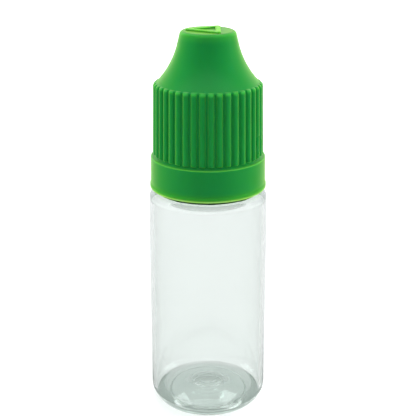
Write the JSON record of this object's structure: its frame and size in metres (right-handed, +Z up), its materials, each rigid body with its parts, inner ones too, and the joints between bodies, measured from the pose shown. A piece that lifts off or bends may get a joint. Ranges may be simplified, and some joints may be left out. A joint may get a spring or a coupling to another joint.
{
  "type": "eye drop bottle",
  "caption": "Small clear cylindrical dropper bottle with a tall ribbed child-resistant screw cap, tapering nose, raised triangle on top and tamper ring.",
  "frame": {"origin": "middle of the bottle's foot, on the surface that it stands on", "axes": "+Z up along the bottle's axis through the nozzle, -Y towards the picture's viewer, -X to the viewer's left"},
  "size_m": [0.021, 0.021, 0.0696],
  "materials": {
    "clear_pet": "clear, smooth, faintly green-grey where it is thick",
    "natural_ldpe": "milky, soft, uncoloured",
    "green_pp": "bright green, moulded, half gloss"
  },
  "bodies": {
    "bottle": {"bottle": "clear_pet", "dropper_tip": "natural_ldpe"},
    "tamper_ring": {"tamper_ring": "green_pp"},
    "inner_cap": {"inner_cap": "green_pp"},
    "outer_cap": {"outer_cap": "green_pp"}
  },
  "joints": [
    {"name": "cap_turn", "type": "hinge", "parent": "bottle", "child": "tamper_ring", "pos_m": [0, 0, 0.0434], "axis": [0, 0, 1], "range_deg": [0, 2880]},
    {"name": "cap_rise", "type": "slide", "parent": "tamper_ring", "child": "inner_cap", "axis": [0, 0, 1], "range_m": [0, 0.024]},
    {"name": "shell_play", "type": "slide", "parent": "inner_cap", "child": "outer_cap", "axis": [0, 0, 1], "range_m": [0, 0.0008]}
  ],
  "couplings": [
    {"joint": "cap_rise", "follows": "cap_turn", "m_per_rad": 0.00047746}
  ]
}
